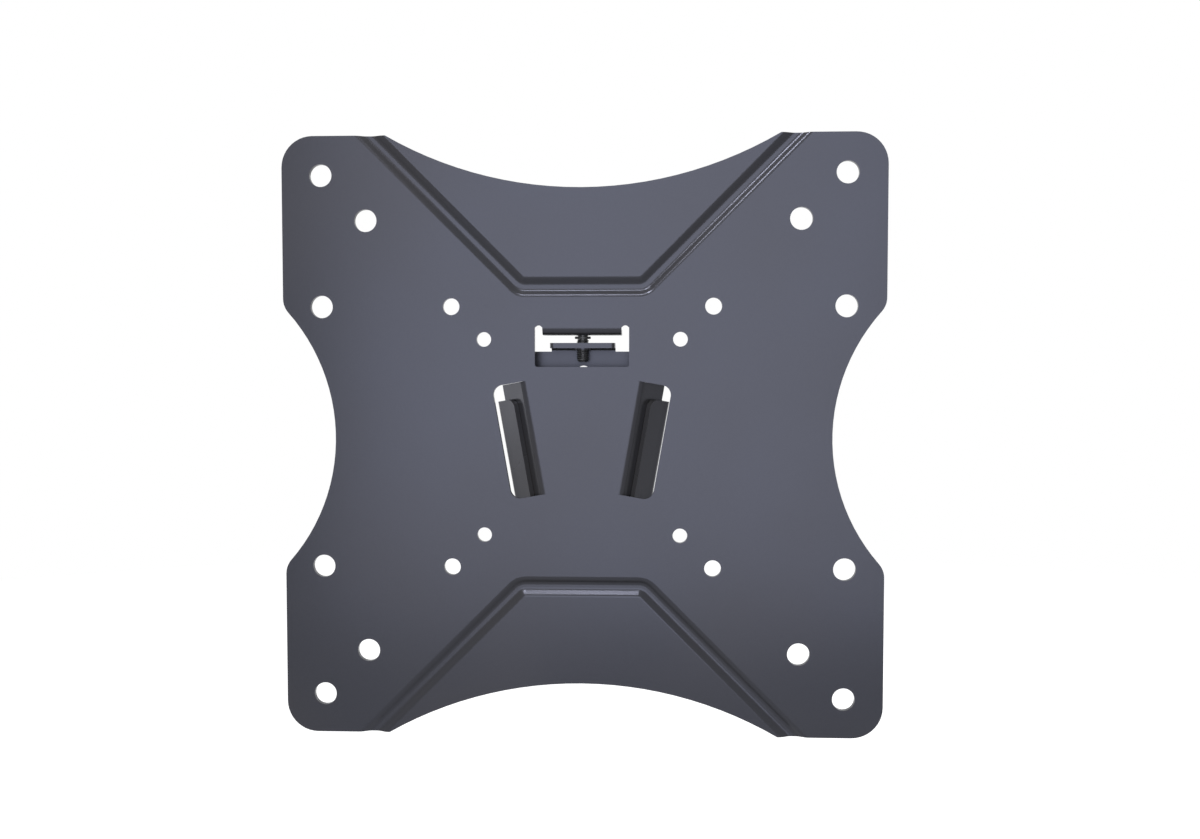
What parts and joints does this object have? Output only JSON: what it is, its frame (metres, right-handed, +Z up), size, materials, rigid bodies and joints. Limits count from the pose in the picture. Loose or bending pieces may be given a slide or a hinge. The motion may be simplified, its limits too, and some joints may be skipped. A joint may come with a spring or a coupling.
{
  "type": "television wall mount",
  "caption": "Flat television wall mount: a scooped, beaded TV plate with screw grids hangs by tapered flaps in a hooked wall plate and is drawn tight by a captive locking screw.",
  "frame": {"origin": "centre of the screw grid, on the back face of the wall plate where it meets the wall", "axes": "+X to the right as seen from the television side, +Y into the wall, +Z up; the television is on the -Y side"},
  "size_m": [0.23, 0.014, 0.23],
  "materials": {
    "powder_coat": "fine semi-matte powder coat",
    "black_steel": "black zinc on steel"
  },
  "bodies": {
    "root": {"tv_plate": "powder_coat", "wall_plate": "powder_coat", "locking_screw": "black_steel", "retaining_ring": "black_steel"}
  },
  "joints": []
}
